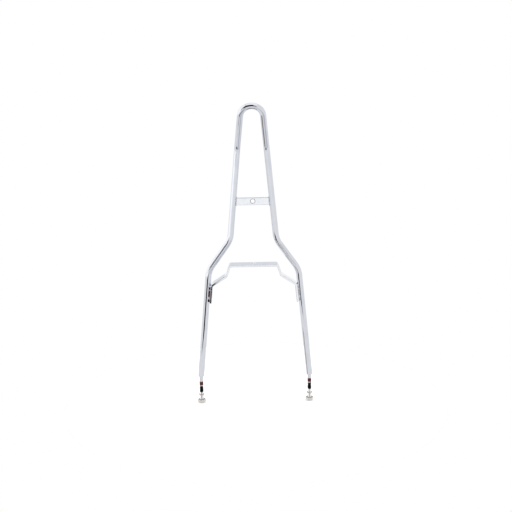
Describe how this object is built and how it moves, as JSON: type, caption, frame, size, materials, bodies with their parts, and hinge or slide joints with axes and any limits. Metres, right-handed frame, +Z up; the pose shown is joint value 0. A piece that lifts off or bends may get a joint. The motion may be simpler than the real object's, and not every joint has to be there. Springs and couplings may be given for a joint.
{
  "type": "motorcycle sissy bar",
  "caption": "Tall chromed sissy bar: a round bar hoop with a leaned top loop, a drilled cross plate, a bent fender strap and threaded foot studs with nuts.",
  "frame": {"origin": "centre of the fender bolt hole, on the underside of the fender strap", "axes": "+Z up along the bar, +Y horizontally away from the side that the top loop leans to, +X to the right when seen from that side"},
  "size_m": [0.2472, 0.0509, 0.636],
  "materials": {
    "bar_chrome": "polished chrome plate on a bent round bar",
    "flat_chrome": "chrome plate on flat bar, slightly softer than on the round bar",
    "stud_steel": "bright plated thread and shank",
    "hardware_zinc": "bright zinc plate",
    "weld_chrome": "chrome plate over lumpy weld beads"
  },
  "bodies": {
    "root": {"hoop": "bar_chrome", "cross_plate": "flat_chrome", "fender_strap": "flat_chrome", "left_stud": "stud_steel", "right_stud": "stud_steel", "left_stop_collar": "hardware_zinc", "right_stop_collar": "hardware_zinc", "left_nut": "hardware_zinc", "right_nut": "hardware_zinc", "left_plate_weld": "weld_chrome", "right_plate_weld": "weld_chrome", "left_front_strap_weld": "weld_chrome", "left_rear_strap_weld": "weld_chrome", "right_front_strap_weld": "weld_chrome", "right_rear_strap_weld": "weld_chrome", "left_stud_weld": "weld_chrome", "right_stud_weld": "weld_chrome"}
  },
  "joints": []
}
